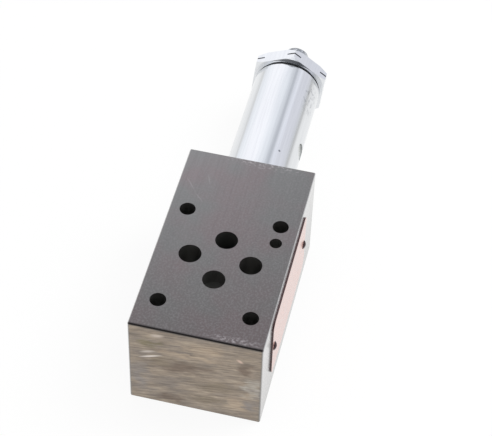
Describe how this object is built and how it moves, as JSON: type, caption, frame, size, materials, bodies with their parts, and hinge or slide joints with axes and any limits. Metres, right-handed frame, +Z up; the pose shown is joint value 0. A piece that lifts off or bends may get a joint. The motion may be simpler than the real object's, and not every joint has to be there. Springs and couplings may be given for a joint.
{
  "type": "hydraulic sandwich valve",
  "caption": "Ported steel block with a round spring housing on its end, a hexagonal cap, an adjusting screw and a bare name plate.",
  "frame": {"origin": "middle of the port pattern, on the mounting face (the block's underside)", "axes": "+X along the spring housing towards the adjusting screw, +Y towards the side with the gauge port, +Z up to the valve face"},
  "size_m": [0.1564, 0.0464, 0.04],
  "materials": {
    "block_iron": "ground faces with a grey-brown phosphate skin",
    "plated_steel": "turned and zinc plated, with a bluish tint",
    "hardened_steel": "hardened and ground bright",
    "spring_steel": "oiled spring wire",
    "dark_steel": "blackened and oiled",
    "seal_rubber": "smooth nitrile rubber",
    "bonded_ring": "dark bonded fibre",
    "plate_metal": "thin sheet, lacquered pale red, bare",
    "pin_steel": "plain drive pins"
  },
  "bodies": {
    "valve": {"valve_body": "block_iron", "spring_housing": "plated_steel", "housing_seal": "seal_rubber", "end_cap": "plated_steel", "cap_seal": "bonded_ring", "gauge_plug": "plated_steel", "gauge_plug_seal": "seal_rubber", "port_seal_p": "seal_rubber", "port_seal_t": "seal_rubber", "port_seal_a": "seal_rubber", "port_seal_b": "seal_rubber", "name_plate": "plate_metal", "plate_pins": "pin_steel"},
    "spring_guide": {"spring_cap": "hardened_steel", "spring_cap_seal": "seal_rubber", "control_spring": "spring_steel"},
    "screw": {"adjusting_screw": "plated_steel"},
    "washer": {"lock_washer": "plated_steel"},
    "nut": {"lock_nut": "plated_steel"},
    "spool": {"control_spool": "hardened_steel", "spring_seat": "hardened_steel", "damping_orifice": "dark_steel"}
  },
  "joints": [
    {"name": "spring_cap_travel", "type": "slide", "parent": "valve", "child": "spring_guide", "axis": [1, 0, 0], "range_m": [-0.006, 0.002], "deforming": ["control_spring"]},
    {"name": "adjusting_turn", "type": "hinge", "parent": "spring_guide", "child": "screw", "pos_m": [0.11, 0, 0.02], "axis": [1, 0, 0], "range_deg": [-1728, 576]},
    {"name": "lock_washer_travel", "type": "slide", "parent": "valve", "child": "washer", "axis": [1, 0, 0], "range_m": [0, 0.00187]},
    {"name": "lock_nut_turn", "type": "hinge", "parent": "washer", "child": "nut", "pos_m": [0.1148, 0, 0.02], "axis": [1, 0, 0], "range_deg": [0, 540]},
    {"name": "spool_slide", "type": "slide", "parent": "valve", "child": "spool", "axis": [1, 0, 0], "range_m": [0, 0.004], "stiffness_N_per_m": 32200, "springref_m": -0.002, "deforming": ["control_spring"]}
  ],
  "couplings": [
    {"joint": "adjusting_turn", "follows": "spring_cap_travel", "rad_per_m": 5026.5},
    {"joint": "lock_nut_turn", "follows": "lock_washer_travel", "rad_per_m": 5026.5}
  ]
}
